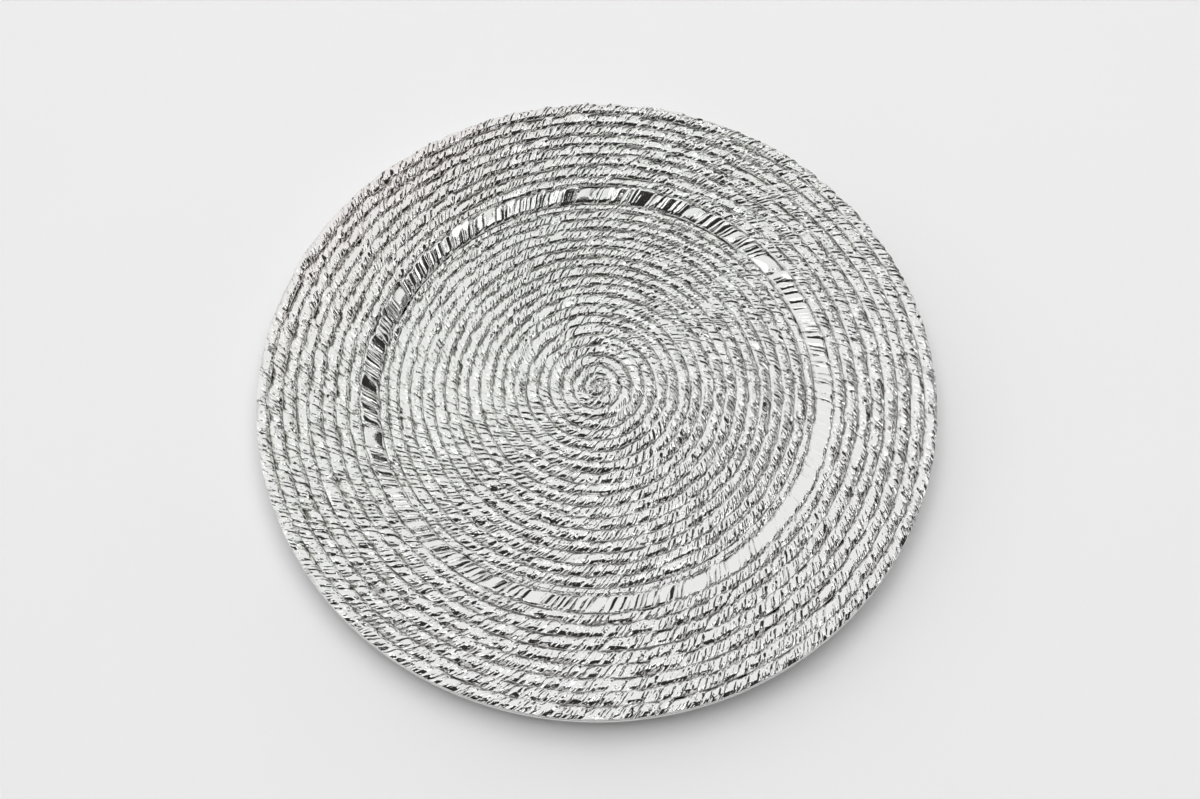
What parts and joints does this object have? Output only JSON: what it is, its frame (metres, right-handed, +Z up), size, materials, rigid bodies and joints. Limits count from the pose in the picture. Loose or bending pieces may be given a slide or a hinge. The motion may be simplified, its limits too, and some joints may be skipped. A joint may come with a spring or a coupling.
{
  "type": "offering plate",
  "caption": "Round silvered offering plate: a shallow well and flared rim laid all over with concentric twisted cord rings on a pressed dish, standing on a felt-faced foot.",
  "frame": {"origin": "centre of the flat felt face underneath that the plate rests on, at the lowest point of the plate", "axes": "+Z up, square to the rest face and out of the open well; the plate is round about Z, so X and Y are any two level directions"},
  "size_m": [0.33, 0.33, 0.0185],
  "materials": {
    "silvered_cord": "bright silver plating over coarse twisted cord, mirror-like on each strand",
    "silvered_dish": "bright silver plating on smooth pressed sheet, fine brushing underneath",
    "grey_felt": "pressed wool felt, matte"
  },
  "bodies": {
    "root": {"base_felt": "grey_felt", "foot_hoop": "silvered_dish", "dish": "silvered_dish", "centre_button": "silvered_cord", "well_cord_01": "silvered_cord", "well_cord_02": "silvered_cord", "well_cord_03": "silvered_cord", "well_cord_04": "silvered_cord", "well_cord_05": "silvered_cord", "well_cord_06": "silvered_cord", "well_cord_07": "silvered_cord", "well_cord_08": "silvered_cord", "well_cord_09": "silvered_cord", "well_cord_10": "silvered_cord", "well_cord_11": "silvered_cord", "well_cord_12": "silvered_cord", "well_cord_13": "silvered_cord", "well_cord_14": "silvered_cord", "well_cord_15": "silvered_cord", "well_cord_16": "silvered_cord", "well_cord_17": "silvered_cord", "wall_foot_cord": "silvered_cord", "wall_band": "silvered_cord", "wall_shoulder_cord": "silvered_cord", "rim_cord_01": "silvered_cord", "rim_cord_02": "silvered_cord", "rim_cord_03": "silvered_cord", "rim_cord_04": "silvered_cord", "rim_cord_05": "silvered_cord", "rim_cord_06": "silvered_cord", "rim_cord_07": "silvered_cord"}
  },
  "joints": []
}
